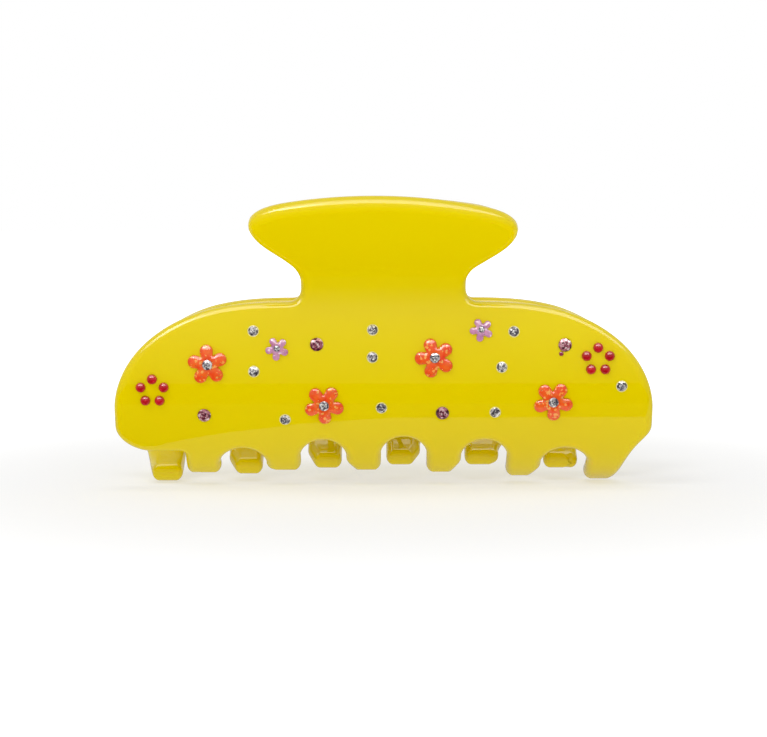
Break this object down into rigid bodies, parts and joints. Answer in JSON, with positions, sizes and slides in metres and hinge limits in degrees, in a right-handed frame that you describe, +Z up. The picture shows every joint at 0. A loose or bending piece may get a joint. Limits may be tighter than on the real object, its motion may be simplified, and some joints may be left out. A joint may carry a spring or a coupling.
{
  "type": "claw hair clip",
  "caption": "Large sprung claw hair clip of bent yellow acetate sheet with interleaving teeth and flared handles, trimmed with resin flowers, set stones and rings of beads.",
  "frame": {"origin": "on the surface the clip stands on, midway between its two jaws and midway along it", "axes": "+X along the clip, +Y from the decorated front jaw to the plain rear jaw, +Z up from the teeth to the handles"},
  "size_m": [0.1084, 0.0498, 0.0597],
  "materials": {
    "yellow_acetate": "polished, slightly translucent",
    "orange_resin": "clear glossy resin with glitter",
    "lilac_resin": "glossy resin",
    "red_resin": "glossy",
    "clear_stone": "faceted, foil backed",
    "pink_stone": "faceted, foil backed",
    "spring_steel": "drawn wire",
    "pin_steel": "bright"
  },
  "bodies": {
    "front_half": {"clear_gem_1": "clear_stone", "clear_gem_10": "clear_stone", "clear_gem_2": "clear_stone", "clear_gem_3": "clear_stone", "clear_gem_4": "clear_stone", "clear_gem_5": "clear_stone", "clear_gem_6": "clear_stone", "clear_gem_7": "clear_stone", "clear_gem_8": "clear_stone", "clear_gem_9": "clear_stone", "front_jaw": "yellow_acetate", "front_lug_left": "yellow_acetate", "front_lug_right": "yellow_acetate", "hinge_pin": "pin_steel", "lilac_flower_1": "lilac_resin", "lilac_flower_2": "lilac_resin", "lilac_flower_gem_1": "clear_stone", "lilac_flower_gem_2": "clear_stone", "orange_flower_1": "orange_resin", "orange_flower_2": "orange_resin", "orange_flower_3": "orange_resin", "orange_flower_4": "orange_resin", "orange_flower_gem_1": "clear_stone", "orange_flower_gem_2": "clear_stone", "orange_flower_gem_3": "clear_stone", "orange_flower_gem_4": "clear_stone", "pink_gem_1": "pink_stone", "pink_gem_2": "pink_stone", "pink_gem_3": "pink_stone", "pink_gem_4": "pink_stone", "red_bead_left_1": "red_resin", "red_bead_left_2": "red_resin", "red_bead_left_3": "red_resin", "red_bead_left_4": "red_resin", "red_bead_left_5": "red_resin", "red_bead_right_1": "red_resin", "red_bead_right_2": "red_resin", "red_bead_right_3": "red_resin", "red_bead_right_4": "red_resin", "red_bead_right_5": "red_resin", "torsion_spring": "spring_steel"},
    "rear_half": {"rear_jaw": "yellow_acetate", "rear_lug_left": "yellow_acetate", "rear_lug_right": "yellow_acetate"}
  },
  "joints": [
    {"name": "jaw_hinge", "type": "hinge", "parent": "front_half", "child": "rear_half", "pos_m": [0, 0, 0.03991], "axis": [1, 0, 0], "range_deg": [0, 80], "stiffness_Nm_per_rad": 0.12, "springref_deg": -34.38, "deforming": ["torsion_spring"]}
  ]
}
